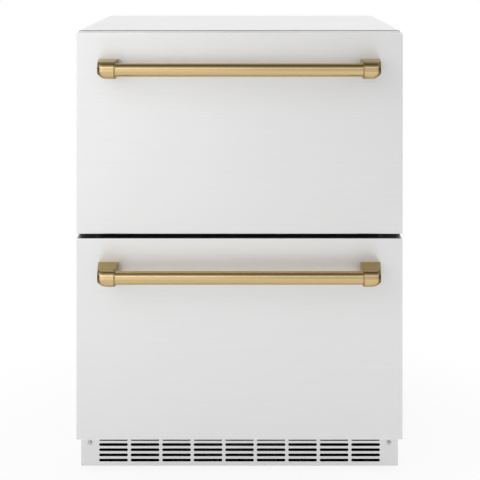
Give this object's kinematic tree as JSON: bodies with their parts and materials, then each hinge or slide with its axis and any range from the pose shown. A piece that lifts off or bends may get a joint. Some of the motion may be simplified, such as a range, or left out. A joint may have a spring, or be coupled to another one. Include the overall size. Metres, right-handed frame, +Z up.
{
  "type": "undercounter drawer refrigerator",
  "caption": "Undercounter refrigerator with stacked pull-out drawers on ball-bearing slides, stainless fronts, round bar handles with end brackets, a slotted toe grille and levelling feet.",
  "frame": {"origin": "on the floor, under the middle of the whole appliance, handles included", "axes": "front faces -Y, +X is the right-hand side, +Z is up"},
  "size_m": [0.597, 0.671, 0.8365],
  "materials": {
    "stainless": "brushed",
    "front_stainless": "finely brushed",
    "galvanised": "galvanised",
    "liner_white": "satin moulded",
    "foam": "rigid foam",
    "rail_steel": "brushed",
    "grille_steel": "satin",
    "screw_steel": "plated",
    "cover_white": "moulded",
    "fin_aluminium": "mill",
    "fan_plastic": "moulded",
    "control_plastic": "satin",
    "drain_plastic": "moulded",
    "compressor_black": "painted",
    "foot_rubber": "moulded",
    "condenser_black": "painted",
    "shroud_plastic": "moulded",
    "copper": "drawn",
    "inlet_plastic": "moulded",
    "foot_steel": "plated",
    "gasket_grey": "soft",
    "handle_bronze": "brushed champagne bronze",
    "bin_plastic": "clear-white moulded",
    "cage_steel": "plated",
    "slide_steel": "zinc plated"
  },
  "bodies": {
    "cabinet": {"outer_wrapper": "stainless", "back_panel": "galvanised", "rear_service_cover": "galvanised", "base_pan": "galvanised", "inner_liner": "liner_white", "cabinet_foam": "foam", "cross_rails": "rail_steel", "toe_grille": "grille_steel", "panel_screws": "screw_steel", "evaporator_cover": "cover_white", "evaporator_coil": "fin_aluminium", "evaporator_fan_mount": "rail_steel", "control_module": "control_plastic", "condensate_drain": "drain_plastic", "compressor": "compressor_black", "compressor_grommets": "foot_rubber", "condenser_coil": "condenser_black", "condenser_fan_shroud": "shroud_plastic", "refrigerant_lines": "copper", "power_inlet": "inlet_plastic", "upper_left_cabinet_rail": "slide_steel", "upper_right_cabinet_rail": "slide_steel", "lower_left_cabinet_rail": "slide_steel", "lower_right_cabinet_rail": "slide_steel"},
    "upper_drawer": {"upper_front_skin": "front_stainless", "upper_front_foam": "foam", "upper_inner_panel": "liner_white", "upper_gasket": "gasket_grey", "upper_handle_bar": "handle_bronze", "upper_handle_brackets": "handle_bronze", "upper_handle_bolts": "screw_steel", "upper_bin": "bin_plastic", "upper_bin_frame": "rail_steel", "upper_left_drawer_rail": "slide_steel", "upper_right_drawer_rail": "slide_steel"},
    "upper_middle_rails": {"upper_left_middle_rail": "slide_steel", "upper_right_middle_rail": "slide_steel"},
    "upper_outer_cages_body": {"upper_outer_cages": "cage_steel"},
    "upper_inner_cages_body": {"upper_inner_cages": "cage_steel"},
    "lower_drawer": {"lower_front_skin": "front_stainless", "lower_front_foam": "foam", "lower_inner_panel": "liner_white", "lower_gasket": "gasket_grey", "lower_handle_bar": "handle_bronze", "lower_handle_brackets": "handle_bronze", "lower_handle_bolts": "screw_steel", "lower_bin": "bin_plastic", "lower_bin_frame": "rail_steel", "lower_left_drawer_rail": "slide_steel", "lower_right_drawer_rail": "slide_steel"},
    "lower_middle_rails": {"lower_left_middle_rail": "slide_steel", "lower_right_middle_rail": "slide_steel"},
    "lower_outer_cages_body": {"lower_outer_cages": "cage_steel"},
    "lower_inner_cages_body": {"lower_inner_cages": "cage_steel"},
    "evaporator_rotor": {"evaporator_fan": "fan_plastic"},
    "condenser_rotor": {"condenser_fan": "fan_plastic"},
    "front_left_foot": {"foot_front_left": "foot_steel"},
    "front_right_foot": {"foot_front_right": "foot_steel"},
    "rear_left_foot": {"foot_rear_left": "foot_steel"},
    "rear_right_foot": {"foot_rear_right": "foot_steel"}
  },
  "joints": [
    {"name": "upper_drawer_slide", "type": "slide", "parent": "cabinet", "child": "upper_drawer", "axis": [0, -1, 0], "range_m": [0, 0.43]},
    {"name": "upper_middle_rail_slide", "type": "slide", "parent": "cabinet", "child": "upper_middle_rails", "axis": [0, -1, 0], "range_m": [0, 0.215]},
    {"name": "upper_outer_cage_slide", "type": "slide", "parent": "cabinet", "child": "upper_outer_cages_body", "axis": [0, -1, 0], "range_m": [0, 0.1075]},
    {"name": "upper_inner_cage_slide", "type": "slide", "parent": "cabinet", "child": "upper_inner_cages_body", "axis": [0, -1, 0], "range_m": [0, 0.3225]},
    {"name": "lower_drawer_slide", "type": "slide", "parent": "cabinet", "child": "lower_drawer", "axis": [0, -1, 0], "range_m": [0, 0.43]},
    {"name": "lower_middle_rail_slide", "type": "slide", "parent": "cabinet", "child": "lower_middle_rails", "axis": [0, -1, 0], "range_m": [0, 0.215]},
    {"name": "lower_outer_cage_slide", "type": "slide", "parent": "cabinet", "child": "lower_outer_cages_body", "axis": [0, -1, 0], "range_m": [0, 0.1075]},
    {"name": "lower_inner_cage_slide", "type": "slide", "parent": "cabinet", "child": "lower_inner_cages_body", "axis": [0, -1, 0], "range_m": [0, 0.3225]},
    {"name": "evaporator_fan_spin", "type": "hinge", "parent": "cabinet", "child": "evaporator_rotor", "pos_m": [0, 0.263, 0.752], "axis": [0, 1, 0], "continuous": true},
    {"name": "condenser_fan_spin", "type": "hinge", "parent": "cabinet", "child": "condenser_rotor", "pos_m": [-0.1745, 0.2405, 0.1112], "axis": [1, 0, 0], "continuous": true},
    {"name": "front_left_foot_screw", "type": "slide", "parent": "cabinet", "child": "front_left_foot", "axis": [0, 0, -1], "range_m": [0, 0.02]},
    {"name": "front_right_foot_screw", "type": "slide", "parent": "cabinet", "child": "front_right_foot", "axis": [0, 0, -1], "range_m": [0, 0.02]},
    {"name": "rear_left_foot_screw", "type": "slide", "parent": "cabinet", "child": "rear_left_foot", "axis": [0, 0, -1], "range_m": [0, 0.02]},
    {"name": "rear_right_foot_screw", "type": "slide", "parent": "cabinet", "child": "rear_right_foot", "axis": [0, 0, -1], "range_m": [0, 0.02]}
  ],
  "couplings": [
    {"joint": "upper_middle_rail_slide", "follows": "upper_drawer_slide", "ratio": 0.5},
    {"joint": "upper_outer_cage_slide", "follows": "upper_drawer_slide", "ratio": 0.25},
    {"joint": "upper_inner_cage_slide", "follows": "upper_drawer_slide", "ratio": 0.75},
    {"joint": "lower_middle_rail_slide", "follows": "lower_drawer_slide", "ratio": 0.5},
    {"joint": "lower_outer_cage_slide", "follows": "lower_drawer_slide", "ratio": 0.25},
    {"joint": "lower_inner_cage_slide", "follows": "lower_drawer_slide", "ratio": 0.75}
  ]
}
